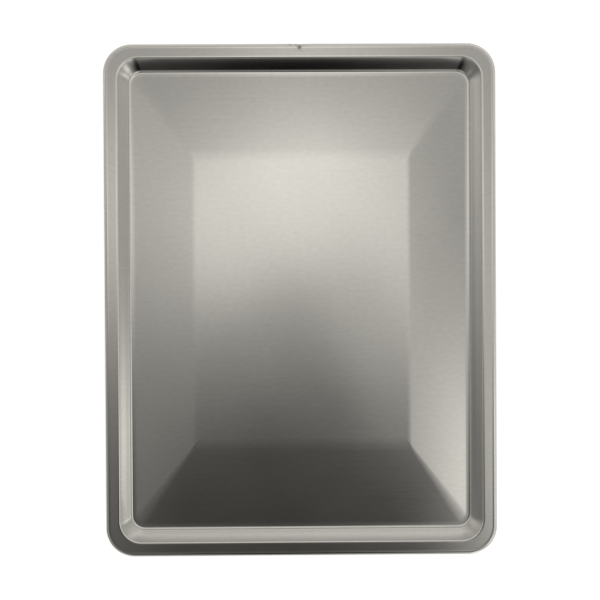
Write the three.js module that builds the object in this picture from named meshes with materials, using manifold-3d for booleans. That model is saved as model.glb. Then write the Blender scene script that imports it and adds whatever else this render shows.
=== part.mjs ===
// A rectangular sheet pan, in millimetres, with +Z up and its long side along Y.
// One sheet of stainless steel is drawn to a shallow tray and rolled at its edge round a steel wire
// that stiffens the rim. The origin is on the table, under the middle of the pan.
import * as THREE from "three";
import { mergeVertices } from "three/addons/utils/BufferGeometryUtils.js";
import Module from "manifold-3d";

// Overall sizes
const PAN_WIDTH = 311; // outside of the rim, along X
const PAN_LENGTH = 406; // outside of the rim, along Y
const PAN_HEIGHT = 25; // from the table to the top of the rim
const SHEET = 0.6; // thickness of the steel sheet

// Rim: a flat flange, and a curl that goes round the wire
const FLANGE = 7.1; // flat stretch between the mouth's roll and the curl
const WIRE_DIAMETER = 4;
const WIRE_CLEARANCE = 0.3; // between the wire and the curl
const WIRE_GAP = 1.2; // between the two ends of the wire, which meet half way along one end of the pan
const CURL_WRAP = 288; // degrees that the sheet goes round the wire
const DENT_WIDTH = 2.2; // dent in the crown of the curl, over the gap in the wire
const DENT_DEPTH = 0.3;

// Walls and floor, measured on the upper face of the sheet
const MOUTH_BEND = 1.1; // radius between flange and wall
const FLOOR_BEND = 1.4; // radius between wall and floor
const ROLL = 18; // radius of the gentle roll that leads into each bend from the flange or the floor
const ROLL_TURN = 3.5; // degrees that the roll turns
const TOP_DRAFT = 19; // degrees that the bowed wall leans out from upright at its top
const FOOT_DRAFT = 7.5; // the same, at its foot
const LAND = 1; // flat band round the floor, which the pan stands on
const PANEL_WIDTH = 174; // raised flat panel in the middle of the floor, along X
const PANEL_LENGTH = 234; // the same, along Y
const PANEL_RAISE = 1.5; // height of the panel above the land

// Corner radii, seen from above
const RIM_CORNER = 23; // outside of the curl
const MOUTH_CORNER = 18.5; // inner edge of the flange
const FLOOR_CORNER = 9; // outer edge of the land
const PANEL_CORNER = 1.5;

// Number of flat steps in each round form
const CORNER_STEPS = 10;
const ROLL_STEPS = 2;
const BEND_STEPS = 5;
const WALL_STEPS = 5;
const CURL_STEPS = 16;
const WIRE_SIDES = 12;
const DENT_SIDES = 16;

const STEEL = { color: 0xb4b1aa, roughness: 0.3, metalness: 1 };
const GALVANISED_WIRE = { color: 0x9a9c9e, roughness: 0.45, metalness: 1 };

// Sizes that follow from those above. "Out" is measured outwards from the outermost edge of the rim,
// so every place on the pan has an out of zero or less.
const CURL_INSIDE = WIRE_DIAMETER / 2 + WIRE_CLEARANCE;
const CURL_OUTSIDE = CURL_INSIDE + SHEET;
const CURL_OUT = -CURL_OUTSIDE;
const CURL_Z = PAN_HEIGHT - CURL_OUTSIDE;
const MOUTH_OUT = CURL_OUT - FLANGE;
const TOP_LEAN = THREE.MathUtils.degToRad(TOP_DRAFT);
const FOOT_LEAN = THREE.MathUtils.degToRad(FOOT_DRAFT);
const TURN = THREE.MathUtils.degToRad(ROLL_TURN);

// How far a roll and the bend after it reach, across and in height, from the level sheet to the wall,
// which has this lean there.
function bendReach(radius, lean) {
  return {
    across: ROLL * Math.sin(TURN) + radius * (Math.cos(lean) - Math.sin(TURN)),
    rise: ROLL * (1 - Math.cos(TURN)) + radius * (Math.cos(TURN) - Math.sin(lean)),
  };
}

const MOUTH_REACH = bendReach(MOUTH_BEND, TOP_LEAN);
const FLOOR_REACH = bendReach(FLOOR_BEND, FOOT_LEAN);
const WALL_RISE = PAN_HEIGHT - SHEET - MOUTH_REACH.rise - FLOOR_REACH.rise;
const WALL_RADIUS = WALL_RISE / (Math.sin(TOP_LEAN) - Math.sin(FOOT_LEAN));
const WALL_RUN = WALL_RADIUS * (Math.cos(FOOT_LEAN) - Math.cos(TOP_LEAN));
const FLOOR_OUT = MOUTH_OUT - MOUTH_REACH.across - WALL_RUN - FLOOR_REACH.across;
const LAND_OUT = FLOOR_OUT - LAND;

// The corner radius at a place on the section. The curl and the land keep an even width round the
// corner, and between them the radius changes steadily.
const CORNER_BY_OUT = [
  [LAND_OUT, Math.max(FLOOR_CORNER - LAND, PANEL_CORNER)],
  [FLOOR_OUT, FLOOR_CORNER],
  [MOUTH_OUT, MOUTH_CORNER],
  [CURL_OUT, RIM_CORNER + CURL_OUT],
  [0, RIM_CORNER],
];

function cornerAt(out) {
  const next = CORNER_BY_OUT.findIndex(([place]) => place >= out);
  const upper = CORNER_BY_OUT[Math.max(next, 1)];
  const lower = CORNER_BY_OUT[Math.max(next, 1) - 1];
  return THREE.MathUtils.mapLinear(out, lower[0], upper[0], lower[1], upper[1]);
}

// One turn round the pan at a place on the section.
function ringAt(out, z, corner = cornerAt(out)) {
  return { halfX: PAN_WIDTH / 2 + out, halfY: PAN_LENGTH / 2 + out, corner, z };
}

// A ring's points: four corner arcs, counterclockwise seen from above.
function ringPoints({ halfX, halfY, corner, z }) {
  const quarters = [[1, 1], [-1, 1], [-1, -1], [1, -1]];
  return quarters.flatMap(([sideX, sideY], quarter) =>
    Array.from({ length: CORNER_STEPS + 1 }, (_, step) => {
      const angle = ((quarter + step / CORNER_STEPS) * Math.PI) / 2;
      return new THREE.Vector3(
        sideX * (halfX - corner) + corner * Math.cos(angle),
        sideY * (halfY - corner) + corner * Math.sin(angle),
        z,
      );
    }),
  );
}

// A closed surface through a row of rings. It is either capped at the first and the last ring, or
// goes on from the last ring to the first.
function loft(rings, { capped }) {
  const turns = rings.map(ringPoints);
  const count = turns[0].length;
  const points = turns.flat();
  const faces = [];
  const bands = capped ? turns.length - 1 : turns.length;
  for (let band = 0; band < bands; band++) {
    const inner = band * count;
    const outer = ((band + 1) % turns.length) * count;
    for (let i = 0; i < count; i++) {
      const next = (i + 1) % count;
      faces.push(inner + i, outer + i, outer + next);
      faces.push(inner + i, outer + next, inner + next);
    }
  }
  if (capped) {
    const last = (turns.length - 1) * count;
    const firstCentre = points.push(new THREE.Vector3(0, 0, rings[0].z)) - 1;
    const lastCentre = points.push(new THREE.Vector3(0, 0, rings.at(-1).z)) - 1;
    for (let i = 0; i < count; i++) {
      const next = (i + 1) % count;
      faces.push(firstCentre, i, next);
      faces.push(lastCentre, last + next, last + i);
    }
  }
  return new THREE.BufferGeometry().setFromPoints(points).setIndex(faces);
}

// Stations along an arc of the section: places on the sheet's upper face with the way that it faces.
// The radius is laid from the centre along that way, so it is negative in a hollow bend.
function arcStations(centreOut, centreZ, radius, from, to, steps) {
  return Array.from({ length: steps + 1 }, (_, step) => {
    const angle = THREE.MathUtils.lerp(from, to, step / steps);
    const facing = new THREE.Vector2(Math.cos(angle), Math.sin(angle));
    return { out: centreOut + radius * facing.x, z: centreZ + radius * facing.y, facing };
  });
}

// Stations from the level sheet at a place, along the roll and round the bend to the wall. Both radii
// are negative where the sheet bends up.
function bendStations(out, z, roll, bend, lean) {
  const up = Math.PI / 2;
  const centreOut = out + (roll - bend) * Math.cos(up + TURN);
  const centreZ = z - roll + (roll - bend) * Math.sin(up + TURN);
  return [
    ...arcStations(out, z - roll, roll, up, up + TURN, ROLL_STEPS).slice(0, -1),
    ...arcStations(centreOut, centreZ, bend, up + TURN, Math.PI - lean, BEND_STEPS),
  ];
}

// Stations up the bowed wall from its foot, between the two bends.
function wallStations(foot) {
  const centreOut = foot.out + WALL_RADIUS * Math.cos(FOOT_LEAN);
  const centreZ = foot.z - WALL_RADIUS * Math.sin(FOOT_LEAN);
  const from = Math.PI - FOOT_LEAN;
  const to = Math.PI - TOP_LEAN;
  return arcStations(centreOut, centreZ, WALL_RADIUS, from, to, WALL_STEPS).slice(1, -1);
}

// The sheet's section from the land outwards, up the wall, over the flange and round the wire.
function sectionStations() {
  const up = Math.PI / 2;
  const curlEnd = up - THREE.MathUtils.degToRad(CURL_WRAP);
  const floorBend = bendStations(FLOOR_OUT, SHEET, -ROLL, -FLOOR_BEND, FOOT_LEAN);
  return [
    { out: LAND_OUT, z: SHEET, facing: new THREE.Vector2(0, 1) },
    ...floorBend,
    ...wallStations(floorBend.at(-1)),
    ...bendStations(MOUTH_OUT, PAN_HEIGHT, ROLL, MOUTH_BEND, TOP_LEAN).reverse(),
    ...arcStations(CURL_OUT, CURL_Z, CURL_OUTSIDE, up, curlEnd, CURL_STEPS),
  ];
}

// The raised panel's edge, on a face of the sheet that lies at this height in the land.
function panelRing(landZ) {
  return {
    halfX: PANEL_WIDTH / 2,
    halfY: PANEL_LENGTH / 2,
    corner: PANEL_CORNER,
    z: landZ + PANEL_RAISE,
  };
}

const wasm = await Module();
wasm.setup();

function toSolid(geometry) {
  const bare = geometry.clone();
  bare.deleteAttribute("normal");
  bare.deleteAttribute("uv");
  const merged = mergeVertices(bare, 1e-4);
  const vertProperties = new Float32Array(merged.getAttribute("position").array);
  const triVerts = new Uint32Array(merged.index.array);
  return new wasm.Manifold(new wasm.Mesh({ numProp: 3, vertProperties, triVerts }));
}

function toGeometry(solid) {
  const mesh = solid.getMesh();
  const geometry = new THREE.BufferGeometry();
  geometry.setAttribute("position", new THREE.BufferAttribute(mesh.vertProperties, 3));
  geometry.setIndex(new THREE.BufferAttribute(mesh.triVerts, 1));
  geometry.computeVertexNormals();
  return geometry;
}

// A ball that presses the dent into the crown of the curl.
function dentBall() {
  const radius = (DENT_WIDTH ** 2 / 4 + DENT_DEPTH ** 2) / (2 * DENT_DEPTH);
  const ball = new THREE.SphereGeometry(radius, DENT_SIDES, DENT_SIDES);
  return ball.translate(0, PAN_LENGTH / 2 + CURL_OUT, PAN_HEIGHT + radius - DENT_DEPTH);
}

// The drawn sheet: its upper face from the panel out to the curl's raw edge, and its lower face back.
function panSheet() {
  const stations = sectionStations();
  const upper = stations.map(({ out, z }) => ringAt(out, z));
  const lower = stations.map(({ out, z, facing }) =>
    ringAt(out - SHEET * facing.x, z - SHEET * facing.y),
  );
  const rings = [panelRing(SHEET), ...upper, ...lower.reverse(), panelRing(0)];
  const sheet = toSolid(loft(rings, { capped: true })).subtract(toSolid(dentBall()));
  const mesh = new THREE.Mesh(toGeometry(sheet), new THREE.MeshStandardMaterial(STEEL));
  mesh.name = "pan_sheet";
  return mesh;
}

// The wire: one length, bent to the rim's outline, with its two ends a little apart.
function rimWire() {
  const rings = Array.from({ length: WIRE_SIDES }, (_, side) => {
    const angle = (-side / WIRE_SIDES) * 2 * Math.PI;
    const radius = WIRE_DIAMETER / 2;
    const out = CURL_OUT + radius * Math.cos(angle);
    return ringAt(out, radius * Math.sin(angle), RIM_CORNER + out);
  });
  const gap = new THREE.BoxGeometry(WIRE_GAP, 2 * WIRE_DIAMETER, 2 * WIRE_DIAMETER);
  gap.translate(0, PAN_LENGTH / 2 + CURL_OUT, 0);
  const wire = toSolid(loft(rings, { capped: false })).subtract(toSolid(gap));
  const mesh = new THREE.Mesh(toGeometry(wire), new THREE.MeshStandardMaterial(GALVANISED_WIRE));
  mesh.name = "rim_wire";
  mesh.position.z = CURL_Z;
  return mesh;
}

const sheetPan = new THREE.Group();
sheetPan.add(panSheet(), rimWire());

export default sheetPan;
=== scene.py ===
import math

import bmesh
import bpy
import numpy as np
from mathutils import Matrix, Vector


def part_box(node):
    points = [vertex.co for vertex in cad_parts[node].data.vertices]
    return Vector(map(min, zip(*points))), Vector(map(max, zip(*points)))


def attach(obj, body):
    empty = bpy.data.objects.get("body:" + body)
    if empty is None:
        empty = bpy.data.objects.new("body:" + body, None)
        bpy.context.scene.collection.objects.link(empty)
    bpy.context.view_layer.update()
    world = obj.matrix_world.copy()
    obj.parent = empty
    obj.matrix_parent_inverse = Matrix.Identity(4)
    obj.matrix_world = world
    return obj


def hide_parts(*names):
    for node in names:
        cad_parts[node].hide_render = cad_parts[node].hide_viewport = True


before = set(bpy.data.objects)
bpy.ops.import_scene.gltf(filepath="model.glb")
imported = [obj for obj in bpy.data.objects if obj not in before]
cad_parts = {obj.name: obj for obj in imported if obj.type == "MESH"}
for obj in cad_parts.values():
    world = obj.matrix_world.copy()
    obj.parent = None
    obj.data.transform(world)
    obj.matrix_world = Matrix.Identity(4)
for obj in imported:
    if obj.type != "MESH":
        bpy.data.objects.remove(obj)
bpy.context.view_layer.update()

# Pan sheet
# One sheet of stainless steel, drawn in a press to a shallow tray. Its floor has a raised flat panel with
# creased edges, its walls lean out to a flat flange, and the edge of the flange is rolled round a wire.
SHEET = 0.0006
CURL_INSIDE = 0.0023
CURL_WRAP = math.radians(288)
CURL_HOLLOW = 0.025
HOLLOW_TURN = math.radians(3.2)
FLANGE = 0.0071
MOUTH_BEND = 0.0011
FLOOR_BEND = 0.0014
ROLL = 0.018
ROLL_TURN = math.radians(3.5)
TOP_DRAFT = math.radians(19)
FOOT_DRAFT = math.radians(7.5)
LAND = 0.001
PANEL_HALF = np.array([0.087, 0.117])
PANEL_RAISE = 0.0015
PANEL_CORNER = 0.0015
PANEL_SHIFT = np.array([0.001, -0.0008])
SIDE_CREASE = 0.04
END_CREASE = 0.09
LEVEL_OUT = 0.015
RIM_CORNER = 0.023
MOUTH_CORNER = 0.0185
FLOOR_CORNER = 0.009
# How finely the sheet is divided. A power gathers the places at the middle of the short sides, for the nick.
CORNER_STEPS = 24
LONG_SIDE_STEPS = 48
SHORT_SIDE_STEPS = 72
ROLL_STEPS = 6
BEND_STEPS = 12
WALL_STEPS = 8
CURL_STEPS = 32
EDGE_STEPS = 8
STRAIGHT_SHARES = np.array([[0.03], [0.15], [0.5], [0.85], [0.97]])
PANEL_RINGS = 18
CREASE_STEPS = 12
SLOPE_ENDS = (0.15, 0.9)
SLOPE_STEPS = 7
LEVEL_STEPS = 6
GATHERING = 2.2

pan_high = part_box("pan_sheet")[1]
PAN_HALF = np.array([pan_high.x, pan_high.y])
PAN_HEIGHT = pan_high.z
CURL_OUTSIDE = CURL_INSIDE + SHEET
CURL_Z = PAN_HEIGHT - CURL_OUTSIDE
MOUTH_OUT = -CURL_OUTSIDE - FLANGE
FLANGE_HEIGHT = PAN_HEIGHT - (CURL_HOLLOW + CURL_OUTSIDE) * (1 - math.cos(HOLLOW_TURN))


def bend_reach(radius, draft):
    """How far a roll and the bend after it reach, across and in height, from the level sheet to the wall: the
    roll's radius times the sine of its turn, or one less the cosine, plus the same for the bend."""
    across = ROLL * math.sin(ROLL_TURN) + radius * (math.cos(draft) - math.sin(ROLL_TURN))
    rise = ROLL * (1 - math.cos(ROLL_TURN)) + radius * (math.cos(ROLL_TURN) - math.sin(draft))
    return across, rise


mouth_across, mouth_rise = bend_reach(MOUTH_BEND, TOP_DRAFT)
floor_across, floor_rise = bend_reach(FLOOR_BEND, FOOT_DRAFT)
WALL_RISE = FLANGE_HEIGHT - SHEET - mouth_rise - floor_rise
WALL_RADIUS = WALL_RISE / (math.sin(TOP_DRAFT) - math.sin(FOOT_DRAFT))
WALL_RUN = WALL_RADIUS * (math.cos(FOOT_DRAFT) - math.cos(TOP_DRAFT))
FLOOR_OUT = MOUTH_OUT - mouth_across - WALL_RUN - floor_across
LAND_OUT = FLOOR_OUT - LAND

# The way that the upper face of the level sheet looks, as an angle in the section.
UP = math.pi / 2


def arc(out, height, radius, start, end, steps):
    """Places along an arc of the section as rows of out, height and the way the face looks. The radius is
    laid along that way from the centre, so it is negative in a hollow bend."""
    angle = np.linspace(start, end, steps + 1)
    facing = np.stack([np.cos(angle), np.sin(angle)], axis=1)
    return np.concatenate([np.array([out, height]) + radius * facing, facing], axis=1)


def bend_to_wall(out, height, roll, bend, draft):
    """Places from the level sheet along a gentle roll and round a tight bend to the wall: two arcs that share
    the way the face looks where they meet. Both radii are negative where the sheet bends up."""
    centre_out = out + (roll - bend) * math.cos(UP + ROLL_TURN)
    centre_height = height - roll + (roll - bend) * math.sin(UP + ROLL_TURN)
    gentle = arc(out, height - roll, roll, UP, UP + ROLL_TURN, ROLL_STEPS)
    tight = arc(centre_out, centre_height, bend, UP + ROLL_TURN, math.pi - draft, BEND_STEPS)
    return np.concatenate([gentle, tight[1:]])


def straight(first, last):
    """Places between two rows of the section, drawn together near both: the first row times what is left of
    each share, plus the last row times the share."""
    return first * (1 - STRAIGHT_SHARES) + last * STRAIGHT_SHARES


# The section of the sheet, from the land up the bowed wall, over the flange, through a shallow hollow and
# round the wire. "Out" is measured from the outermost edge of the rim, so it is negative.
curl_end = UP - CURL_WRAP
land_edge = np.array([[LAND_OUT, SHEET, 0, 1]])
floor_bend = bend_to_wall(FLOOR_OUT, SHEET, -ROLL, -FLOOR_BEND, FOOT_DRAFT)
mouth_bend = bend_to_wall(MOUTH_OUT, FLANGE_HEIGHT, ROLL, MOUTH_BEND, TOP_DRAFT)[::-1]
wall_centre = floor_bend[-1, :2] - WALL_RADIUS * floor_bend[-1, 2:]
wall = arc(*wall_centre, WALL_RADIUS, math.pi - FOOT_DRAFT, math.pi - TOP_DRAFT, WALL_STEPS)
curl = arc(-CURL_OUTSIDE, CURL_Z, CURL_OUTSIDE, UP + HOLLOW_TURN, curl_end, CURL_STEPS)
hollow_centre = curl[0, :2] + CURL_HOLLOW * curl[0, 2:]
hollow = arc(*hollow_centre, -CURL_HOLLOW, UP, UP + HOLLOW_TURN, ROLL_STEPS)
upper = np.concatenate([
    land_edge,
    straight(land_edge[0], floor_bend[0]),
    floor_bend,
    wall[1:-1],
    mouth_bend,
    straight(mouth_bend[-1], hollow[0]),
    hollow,
    curl[1:],
])
lower = upper[::-1].copy()
lower[:, :2] -= SHEET * lower[:, 2:]
edge_middle = (upper[-1, :2] + lower[0, :2]) / 2
raw_edge = arc(*edge_middle, SHEET / 2, curl_end, curl_end - math.pi, EDGE_STEPS)[1:-1]
section = np.concatenate([upper, raw_edge, lower])

# How far along the sheet each row of the section lies from the land, on the flat blank.
steps_along = np.hypot(*np.diff(upper[:, :2], axis=0).T)
upper_along = np.concatenate([[0], np.cumsum(steps_along)])
along_blank = np.concatenate([upper_along, np.full(len(raw_edge), upper_along[-1]), upper_along[::-1]])

corner_places = [LAND_OUT, FLOOR_OUT, MOUTH_OUT, -CURL_OUTSIDE, 0]
corner_radii = [FLOOR_CORNER - LAND, FLOOR_CORNER, MOUTH_CORNER, RIM_CORNER - CURL_OUTSIDE, RIM_CORNER]
section_half = PAN_HALF + section[:, :1]
section_corner = np.interp(section[:, 0], corner_places, corner_radii)


def crease(share, width):
    """Height lost by this share of the way down the slope: none before the crease, a parabola across it,
    a straight line after it, and a short parabola that levels out at the land."""
    def bend(distance, reach):
        """Nothing before the bend, the square of the way into it over four reaches, and then the distance."""
        inside = np.clip(distance, -reach, reach)
        return (inside + reach) ** 2 / (4 * reach) + np.maximum(distance - reach, 0)
    return (bend(share, width) - bend(share - 1 + LEVEL_OUT, LEVEL_OUT)) / (1 - LEVEL_OUT)


# The floor: rings from the middle of the panel to its crease, and on down the slope to the land.
crease_rows = np.linspace(-END_CREASE, END_CREASE, CREASE_STEPS + 1)
slope_rows = np.linspace(*SLOPE_ENDS, SLOPE_STEPS + 1)
level_rows = np.linspace(1 - 2 * LEVEL_OUT, 1, LEVEL_STEPS + 1)[:-1]
slope_shares = np.concatenate([crease_rows, slope_rows, level_rows])
land_half = PAN_HALF + LAND_OUT
land_corner = FLOOR_CORNER - LAND
slope_half = PANEL_HALF + slope_shares[:, None] * (land_half - PANEL_HALF)
slope_corner = PANEL_CORNER + np.clip(slope_shares, 0, 1) * (land_corner - PANEL_CORNER)
panel_shares = np.linspace(0, 1, PANEL_RINGS + 1)[:-1]
panel_half = slope_half[0] - (1 - panel_shares[:, None]) * slope_half[0, 0]
panel_corner = panel_shares * slope_corner[0]
floor_half = np.concatenate([panel_half, slope_half])
floor_corner = np.concatenate([panel_corner, slope_corner])


def places_round(corner_steps, long_steps, short_steps):
    """Places round a rounded rectangle, counterclockwise. Each is a share of the corner centres' half
    distances (from -1 to 1 in x and y) and the way that the corner radius points there. Along a side the
    share goes from one corner to the next. On the short sides it is raised to a power, which draws the places
    together at the middle."""
    shares = []
    ways = []
    even = np.linspace(-1, 1, long_steps + 1)[1:-1]
    spread = np.linspace(-1, 1, short_steps + 1)[1:-1]
    gathered = np.sign(spread) * np.abs(spread) ** GATHERING
    signs = np.array([[1, 1], [-1, 1], [-1, -1], [1, -1]], float)
    for quarter in range(4):
        angle = (quarter + np.linspace(0, 1, corner_steps + 1)) * math.pi / 2
        shares.append(np.repeat(signs[quarter:quarter + 1], corner_steps + 1, axis=0))
        ways.append(np.stack([np.cos(angle), np.sin(angle)], axis=1))
        along = (gathered if quarter % 2 == 0 else even)[:, None]
        here, there = signs[quarter], signs[(quarter + 1) % 4]
        shares.append((here + there) / 2 + along * (there - here) / 2)
        ways.append(np.repeat(ways[-1][-1:], len(along), axis=0))
    return np.concatenate(shares), np.concatenate(ways)


def carry_round(half, corner, height, shares, ways):
    """Points of rings carried round the pan: each ring's half sizes less its corner radius, times the share,
    plus the radius along its way. The result has a row for each ring and a column for each place."""
    flat = (half - corner[:, None])[:, None, :] * shares + corner[:, None, None] * ways
    upright = np.broadcast_to(height, flat.shape[:2])
    return np.concatenate([flat, upright[:, :, None]], axis=2)


shares, ways = places_round(CORNER_STEPS, LONG_SIDE_STEPS, SHORT_SIDE_STEPS)
section_points = carry_round(section_half, section_corner, section[:, 1:2], shares, ways)

# The crease is softer at the panel's ends than at its sides, and the panel lies a little off centre.
crease_width = ways[:, 0] ** 2 * SIDE_CREASE + ways[:, 1] ** 2 * END_CREASE
floor_shares = np.concatenate([np.full(PANEL_RINGS, -1.0), slope_shares])[:, None]
floor_height = SHEET + PANEL_RAISE * (1 - crease(floor_shares, crease_width))
floor_points = carry_round(floor_half, floor_corner, floor_height, shares, ways)
floor_points[:, :, :2] += np.clip(1 - floor_shares, 0, 1)[:, :, None] * PANEL_SHIFT
under_floor = floor_points[::-1] - np.array([0, 0, SHEET])
pan_points = np.concatenate([floor_points, section_points, under_floor])

blank_half = land_half + along_blank[:, None]
blank_corner = land_corner + along_blank
blank_section = carry_round(blank_half, blank_corner, section[:, 1:2], shares, ways)
blank_places = np.concatenate([floor_points, blank_section, under_floor])[:, :, :2]

# A nick in the crown of the curl where the ends of the wire meet, with the outside of the curl pressed a
# little flat beside it.
NICK_DEPTH = 0.0003
NICK_REACH = np.array([0.0009, 0.0011])
FLAT_DEPTH = 0.00012
FLAT_REACH = 0.006


def press_nick(points):
    """Heights lowered by a bell of the distance from the nick, and the outside of the curl drawn in by a bell
    of the distance along the rim, as far as it lies outside the crown."""
    crown = PAN_HALF[1] - CURL_OUTSIDE
    x, y, z = np.moveaxis(points, 2, 0)
    on_curl = np.clip((z - CURL_Z) / CURL_OUTSIDE, 0, 1) * (y > 0)
    dent = np.exp(-(x / NICK_REACH[0]) ** 2 - ((y - crown) / NICK_REACH[1]) ** 2)
    outside = np.clip((y - crown) / CURL_OUTSIDE, 0, 1)
    pressed = points.copy()
    pressed[:, :, 2] -= NICK_DEPTH * dent * on_curl
    pressed[:, :, 1] -= FLAT_DEPTH * np.exp(-(x / FLAT_REACH) ** 2) * outside
    return pressed


# The drawn floor isn't quite flat: slow waves that fade out at the land.
WAVE_HEIGHT = 0.00004
WAVE_LENGTHS = (0.083, 0.117)
WAVE_SLANTS = (0.4, -0.3)
WAVE_STARTS = (1.0, 0.4)


def wave_floor(points):
    """Heights changed by two crossing sine waves times how far the place lies inside the land, which is the
    product over x and y of one less the square of its share of the land's half size."""
    x, y = np.moveaxis(points, 2, 0)[:2]
    inside = np.clip(1 - (x / land_half[0]) ** 2, 0, 1) * np.clip(1 - (y / land_half[1]) ** 2, 0, 1)
    across = np.sin(2 * math.pi * (x + WAVE_SLANTS[0] * y) / WAVE_LENGTHS[0] + WAVE_STARTS[0])
    along = np.sin(2 * math.pi * (y + WAVE_SLANTS[1] * x) / WAVE_LENGTHS[1] + WAVE_STARTS[1])
    waved = points.copy()
    waved[:, :, 2] += WAVE_HEIGHT * inside * (across + along)
    return waved


pan_points = wave_floor(press_nick(pan_points))

# Points nearer to each other than this are merged.
SAME_PLACE = 1e-6


def grid_faces(rows, columns):
    """Corner numbers of the faces between neighbouring rows and columns of a grid of points, whose columns
    close on themselves."""
    row = np.arange(rows - 1)[:, None]
    column = np.arange(columns)[None, :]
    next_column = (column + 1) % columns
    corners = [row * columns + column, (row + 1) * columns + column,
               (row + 1) * columns + next_column, row * columns + next_column]
    return np.stack(corners, axis=-1).reshape(-1, 4)


def put_in_scene(name, points, material, flat_places=None):
    """An object whose faces lie on a grid of points, smooth shaded, with any flat places as its UV map.
    Points that coincide are merged, which closes the ends of the grid."""
    mesh = bpy.data.meshes.new(name)
    mesh.from_pydata(points.reshape(-1, 3), [], grid_faces(*points.shape[:2]))
    if flat_places is not None:
        corners = np.empty(len(mesh.loops), np.int32)
        mesh.loops.foreach_get("vertex_index", corners)
        flat_map = mesh.uv_layers.new(name="blank")
        flat_map.data.foreach_set("uv", flat_places.reshape(-1, 2)[corners].ravel())
    editing = bmesh.new()
    editing.from_mesh(mesh)
    bmesh.ops.remove_doubles(editing, verts=editing.verts, dist=SAME_PLACE)
    editing.to_mesh(mesh)
    editing.free()
    mesh.shade_smooth()
    mesh.materials.append(material)
    piece = bpy.data.objects.new(name, mesh)
    bpy.context.scene.collection.objects.link(piece)
    return piece


def add_node(tree, kind, inputs=None, **settings):
    """A node with these settings. An input that is given a socket is linked to it, and any other is set."""
    node = tree.nodes.new("ShaderNode" + kind)
    for setting, value in settings.items():
        setattr(node, setting, value)
    for name, value in (inputs or {}).items():
        if isinstance(value, bpy.types.NodeSocket):
            tree.links.new(value, node.inputs[name])
        else:
            node.inputs[name].default_value = value
    return node


def noise(tree, place, scale, detail, turn=0.0):
    """Noise over a place that is first turned about Z and then stretched by the scale."""
    turned = add_node(tree, "Mapping", {"Vector": place, "Rotation": (0, 0, turn)})
    stretched = add_node(tree, "Mapping", {"Vector": turned.outputs["Vector"], "Scale": scale})
    return add_node(tree, "TexNoise", {"Vector": stretched.outputs["Vector"], "Scale": 1, "Detail": detail})


def weighed(tree, base, *terms):
    """A base number plus each term's weight times how far its socket lies above one half."""
    total = base
    for socket, weight in terms:
        term = add_node(tree, "Math", {0: socket, 1: weight, 2: -0.5 * weight}, operation="MULTIPLY_ADD")
        total = add_node(tree, "Math", {0: total, 1: term.outputs[0]}, operation="ADD").outputs[0]
    return total


# Satin steel as it comes off the mill: fine grain across the pan, broader streaks, cloudy patches, a small
# mottle and a few stray scratches. Each scale counts the waves in a metre of the flat blank, along x and y,
# and the scratches' turn is in radians.
STEEL_DARK = (0.545, 0.545, 0.547, 1)
STEEL_PALE = (0.745, 0.745, 0.738, 1)
STEEL_ROUGHNESS = 0.12
GRAIN_SCALE = (60, 4000, 1)
GRAIN_HEIGHT = 0.000002
GRAIN_ROUGHNESS = 0.05
STREAK_SCALE = (9, 700, 1)
STREAK_SHADE = 0.15
STREAK_ROUGHNESS = 0.04
PATCH_SCALE = (22, 22, 1)
PATCH_SHADE = 0.16
PATCH_ROUGHNESS = 0.04
MOTTLE_SCALE = (200, 360, 1)
MOTTLE_SHADE = 0.36
SCRATCH_SCALE = (24, 1900, 1)
SCRATCH_TURN = 0.14
SCRATCH_RANGE = (0.72, 0.8)
SCRATCH_ROUGHNESS = 0.04
# Painted shade darkening the nick, and darker spots beside it on the curl and the flange: how far along the
# rim and out from the crown, the spread in both, and the share of light that it takes.
NICK_SHADE_AND_DARK_SPOTS = [
    (0.0, -0.0004, 0.0008, 0.0009, 0.7),
    (-0.0072, 0.0012, 0.0012, 0.0005, 0.3),
    (-0.0022, 0.0011, 0.001, 0.0006, 0.35),
    (0.0035, 0.001, 0.0018, 0.0005, 0.2),
    (0.0022, -0.0036, 0.001, 0.0003, 0.15),
]


def bell(tree, place, x, y, wide, tall):
    """One at the middle of a patch, falling off round it as a bell: the exponent of minus half the squared
    distance in x and y, counted in spreads."""
    per_spread = (1 / wide, 1 / tall, 0)
    away = add_node(tree, "VectorMath", {0: place, 1: (x, y, 0)}, operation="SUBTRACT").outputs[0]
    counted = add_node(tree, "VectorMath", {0: away, 1: per_spread}, operation="MULTIPLY").outputs[0]
    squared = add_node(tree, "VectorMath", {0: counted, 1: counted}, operation="DOT_PRODUCT")
    halved = add_node(tree, "Math", {0: squared.outputs["Value"], 1: -0.5}, operation="MULTIPLY")
    return add_node(tree, "Math", {0: halved.outputs[0]}, operation="EXPONENT").outputs[0]


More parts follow.
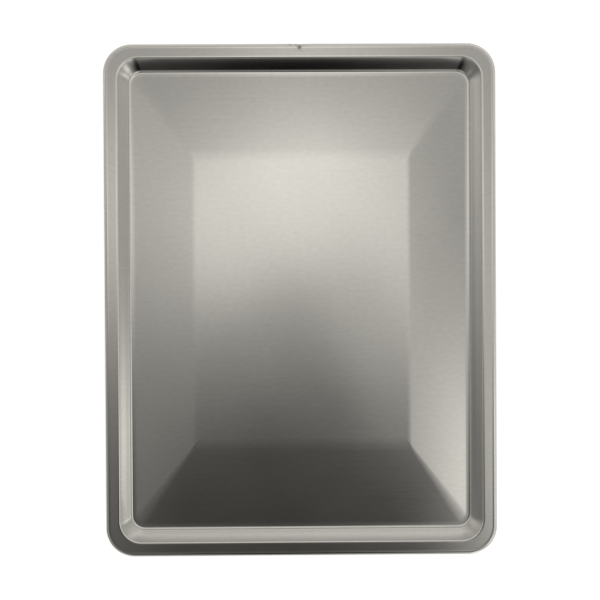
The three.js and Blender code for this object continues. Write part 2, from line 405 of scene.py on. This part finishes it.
def satin_steel():
    """Metal whose colour and roughness follow the grain, streaks, patches, mottle and scratches on the flat
    blank. The colour is also darkened by the painted shade in the nick and by the darker spots beside it,
    each by one less its share times its bell."""
    material = bpy.data.materials.new("satin_steel")
    material.use_nodes = True
    tree = material.node_tree
    blank = add_node(tree, "UVMap", uv_map="blank").outputs["UV"]
    grain = noise(tree, blank, GRAIN_SCALE, detail=2).outputs["Fac"]
    streaks = noise(tree, blank, STREAK_SCALE, detail=2).outputs["Fac"]
    patches = noise(tree, blank, PATCH_SCALE, detail=3).outputs["Fac"]
    mottle = noise(tree, blank, MOTTLE_SCALE, detail=2).outputs["Fac"]
    lines = noise(tree, blank, SCRATCH_SCALE, detail=1, turn=SCRATCH_TURN).outputs["Fac"]
    kept_lines = {"Value": lines, "From Min": SCRATCH_RANGE[0], "From Max": SCRATCH_RANGE[1]}
    scratches = add_node(tree, "MapRange", kept_lines).outputs["Result"]
    shade = weighed(tree, 0.5, (patches, PATCH_SHADE), (mottle, MOTTLE_SHADE), (streaks, STREAK_SHADE))
    undarkened = add_node(tree, "Mix", {"Factor": shade, "A": STEEL_DARK, "B": STEEL_PALE}, data_type="RGBA")
    colour = undarkened.outputs["Result"]
    place = add_node(tree, "TexCoord").outputs["Object"]
    crown = PAN_HALF[1] - CURL_OUTSIDE
    # Each patch darkens the colour: painted shade in the nick, and darker spots beside it.
    for along, out, wide, tall, share in NICK_SHADE_AND_DARK_SPOTS:
        patch = bell(tree, place, along, crown + out, wide, tall)
        kept = add_node(tree, "Math", {0: patch, 1: -share, 2: 1}, operation="MULTIPLY_ADD").outputs[0]
        colour = add_node(tree, "VectorMath", {0: colour, "Scale": kept}, operation="SCALE").outputs[0]
    roughness = weighed(tree, STEEL_ROUGHNESS, (grain, GRAIN_ROUGHNESS), (streaks, STREAK_ROUGHNESS),
                        (patches, PATCH_ROUGHNESS), (scratches, SCRATCH_ROUGHNESS))
    bump = add_node(tree, "Bump", {"Height": grain, "Distance": GRAIN_HEIGHT})
    shader = tree.nodes["Principled BSDF"]
    shader.inputs["Metallic"].default_value = 1
    tree.links.new(colour, shader.inputs["Base Color"])
    tree.links.new(roughness, shader.inputs["Roughness"])
    tree.links.new(bump.outputs["Normal"], shader.inputs["Normal"])
    return material


pan = put_in_scene("pan", pan_points, satin_steel(), blank_places)
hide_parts("pan_sheet")
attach(pan, "root")

# Rim wire
# A galvanised steel wire inside the curl that stiffens the rim. It is one length bent to the rim's outline,
# and its two sheared ends meet half way along the end of the pan at +Y.
WIRE_RADIUS = 0.002
WIRE_GAP = 0.0012
WIRE_END_ROUND = 0.0003
WIRE_SIDES = 20
WIRE_CORNER_STEPS = 12
WIRE_SIDE_STEPS = 20
ZINC_DARK = (0.4, 0.41, 0.42, 1)
ZINC_PALE = (0.6, 0.61, 0.62, 1)
ZINC_ROUGHNESS = 0.45
CRYSTALS_IN_METRE = 900
CRYSTAL_ROUGHNESS = 0.1
CHALK_SCALE = (240, 240, 240)
CHALK_HEIGHT = 0.00003
CHALK_ROUGHNESS = 0.4


def wire_tube():
    """A circle carried along the rim from one side of the gap round to the other. At each end its radius
    shrinks over a small rounding, and then to nothing, which closes the end."""
    corner = RIM_CORNER - CURL_OUTSIDE
    span = PAN_HALF - CURL_OUTSIDE - corner
    shares, ways = places_round(WIRE_CORNER_STEPS, WIRE_SIDE_STEPS, WIRE_SIDE_STEPS)
    middle = WIRE_CORNER_STEPS + WIRE_SIDE_STEPS // 2
    between = (middle + np.arange(1, len(shares))) % len(shares)
    along_end = WIRE_END_ROUND * np.array([0, 0, 0.3, 1])
    into_wire = np.array([WIRE_RADIUS, WIRE_END_ROUND, 0.3 * WIRE_END_ROUND, 0])
    end_x = (WIRE_GAP / 2 + along_end) / span[0]
    end_radius = WIRE_RADIUS - into_wire
    start = np.stack([-end_x, np.ones(len(end_x))], axis=1)
    finish = start[::-1] * np.array([-1, 1])
    towards_end = np.repeat([[0.0, 1.0]], len(end_x), axis=0)
    all_shares = np.concatenate([start, shares[between], finish])[:, None, :]
    all_ways = np.concatenate([towards_end, ways[between], towards_end])[:, None, :]
    radius = np.concatenate([end_radius, np.full(len(between), WIRE_RADIUS), end_radius[::-1]])[:, None]
    angle = np.linspace(0, 2 * math.pi, WIRE_SIDES + 1)[None, :-1]
    flat = span * all_shares + (corner + radius * np.cos(angle))[:, :, None] * all_ways
    height = CURL_Z + radius * np.sin(angle)
    return np.concatenate([flat, height[:, :, None]], axis=2)


def galvanised_steel():
    """Dull metal whose colour and roughness change from one zinc crystal to the next, with chalky patches."""
    material = bpy.data.materials.new("galvanised_steel")
    material.use_nodes = True
    tree = material.node_tree
    place = add_node(tree, "TexCoord").outputs["Object"]
    crystals = add_node(tree, "TexVoronoi", {"Vector": place, "Scale": CRYSTALS_IN_METRE})
    tint = add_node(tree, "SeparateColor", {"Color": crystals.outputs["Color"]}).outputs["Red"]
    chalk = noise(tree, place, CHALK_SCALE, detail=4).outputs["Fac"]
    colour = add_node(tree, "Mix", {"Factor": tint, "A": ZINC_DARK, "B": ZINC_PALE}, data_type="RGBA")
    roughness = weighed(tree, ZINC_ROUGHNESS, (tint, CRYSTAL_ROUGHNESS), (chalk, CHALK_ROUGHNESS))
    bump = add_node(tree, "Bump", {"Height": chalk, "Distance": CHALK_HEIGHT})
    shader = tree.nodes["Principled BSDF"]
    shader.inputs["Metallic"].default_value = 1
    tree.links.new(colour.outputs["Result"], shader.inputs["Base Color"])
    tree.links.new(roughness, shader.inputs["Roughness"])
    tree.links.new(bump.outputs["Normal"], shader.inputs["Normal"])
    return material


wire = put_in_scene("wire", wire_tube(), galvanised_steel())
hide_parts("rim_wire")
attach(wire, "root")

# Floor
# A plain white surface that the pan stands on. It looks white to the camera and in the steel, its diffuse
# part keeps the pan's shadow, and it is clear from below, so that the underside can be seen.
FLOOR_HALF = 40.0
FLOOR_GLOW = 0.7


def white_floor():
    """Matt white, with a glow that only camera, glossy and transmission rays see, and clear from below."""
    material = bpy.data.materials.new("white_floor")
    material.use_nodes = True
    tree = material.node_tree
    rays = add_node(tree, "LightPath").outputs
    seen = add_node(tree, "Math", {0: rays["Is Camera Ray"], 1: rays["Is Glossy Ray"]}, operation="MAXIMUM")
    seen = add_node(tree, "Math", {0: seen.outputs[0], 1: rays["Is Transmission Ray"]}, operation="MAXIMUM")
    glow = add_node(tree, "Math", {0: seen.outputs[0], 1: FLOOR_GLOW}, operation="MULTIPLY")
    shader = tree.nodes["Principled BSDF"]
    shader.inputs["Roughness"].default_value = 1
    shader.inputs["Specular IOR Level"].default_value = 0
    shader.inputs["Emission Color"].default_value = (1, 1, 1, 1)
    tree.links.new(glow.outputs[0], shader.inputs["Emission Strength"])
    below = add_node(tree, "NewGeometry").outputs["Backfacing"]
    clear = add_node(tree, "BsdfTransparent").outputs["BSDF"]
    surface = add_node(tree, "MixShader", {0: below, 1: shader.outputs["BSDF"], 2: clear})
    tree.links.new(surface.outputs[0], tree.nodes["Material Output"].inputs["Surface"])
    return material


floor_mesh = bpy.data.meshes.new("floor")
floor_places = np.array([[-1, -1, 0], [1, -1, 0], [1, 1, 0], [-1, 1, 0]]) * FLOOR_HALF
floor_mesh.from_pydata(floor_places, [], [(0, 1, 2, 3)])
floor_mesh.materials.append(white_floor())
floor = bpy.data.objects.new("floor", floor_mesh)
bpy.context.scene.collection.objects.link(floor)

# Light
# An even grey studio sky with soft lamps overhead and on all sides. A large dark patch in front, with two
# small ones at its edges, is the dark of the room, and two more lie at the left.
SKY_LEVEL = 0.74
SKY_TINT = (1.03, 0.995, 0.915, 1)
# Each lamp is the x and y of the way to its middle, its spread in x and y, and its strength.
LAMPS = {
    "overhead, behind": (0.01, 0.105, 0.06, 0.077, 2.15),
    "overhead, right": (0.105, 0.0, 0.05, 0.096, 1.65),
    "overhead, left": (-0.08, 0.034, 0.075, 0.076, 2.45),
    "high, right front": (0.22, -0.19, 0.045, 0.092, 2.3),
    "high, left behind": (-0.2, 0.1, 0.05, 0.06, 0.22),
    "left": (-0.52, -0.04, 0.21, 0.21, 3.0),
    "right": (0.57, -0.125, 0.1, 0.053, 0.85),
    "behind": (0.05, 0.575, 0.26, 0.08, 0.7),
    "low in front": (0.09, -0.82, 0.215, 0.08, 3.0),
    "right front": (0.49, -0.42, 0.085, 0.11, 1.1),
    "right behind": (0.42, 0.37, 0.14, 0.16, 0.26),
    "left behind": (-0.32, 0.47, 0.13, 0.09, 0.18),
    "left front": (-0.485, -0.28, 0.065, 0.065, 2.0),
}
# Each dark patch is given the same way, with the share of light that it takes.
DARK_PATCHES = {
    "front": (0.005, -0.54, 0.235, 0.6, 0.99),
    "left edge of the front": (-0.1, -0.24, 0.025, 0.04, 0.37),
    "right edge of the front": (0.1, -0.24, 0.022, 0.035, 0.35),
    "left": (-0.55, -0.17, 0.47, 0.41, 0.9),
    "beside the left lamp": (-0.385, 0.015, 0.06, 0.18, 0.89),
}

world = bpy.data.worlds.new("studio")
bpy.context.scene.world = world
world.use_nodes = True
sky = world.node_tree
way = add_node(sky, "TexCoord").outputs["Generated"]
level = SKY_LEVEL
for *patch, strength in LAMPS.values():
    shape = bell(sky, way, *patch)
    level = add_node(sky, "Math", {0: shape, 1: strength, 2: level}, operation="MULTIPLY_ADD").outputs[0]
for *patch, depth in DARK_PATCHES.values():
    shape = bell(sky, way, *patch)
    kept = add_node(sky, "Math", {0: shape, 1: -depth, 2: 1}, operation="MULTIPLY_ADD").outputs[0]
    level = add_node(sky, "Math", {0: level, 1: kept}, operation="MULTIPLY").outputs[0]
sky.links.new(level, sky.nodes["Background"].inputs["Strength"])
sky.nodes["Background"].inputs["Color"].default_value = SKY_TINT

# Camera
# It looks almost straight down on the pan, with the pan's +Y end at the top of the picture. Its turn is in
# degrees, and its focal length is in pixels of the picture.
CAMERA_PLACE = (-0.0091, 0.0095, 0.9225)
CAMERA_TURN = (-0.601, -0.545, -0.324)
SENSOR = 36
FOCAL_PIXELS = 1136
IMAGE_WIDTH = 600
lens = bpy.data.cameras.new("camera")
lens.sensor_width = SENSOR
lens.lens = SENSOR * FOCAL_PIXELS / IMAGE_WIDTH
camera = bpy.data.objects.new("camera", lens)
camera.location = CAMERA_PLACE
camera.rotation_mode = "ZYX"
camera.rotation_euler = [math.radians(turn) for turn in CAMERA_TURN]
bpy.context.scene.collection.objects.link(camera)
bpy.context.scene.camera = camera
bpy.context.scene.view_settings.view_transform = "Standard"
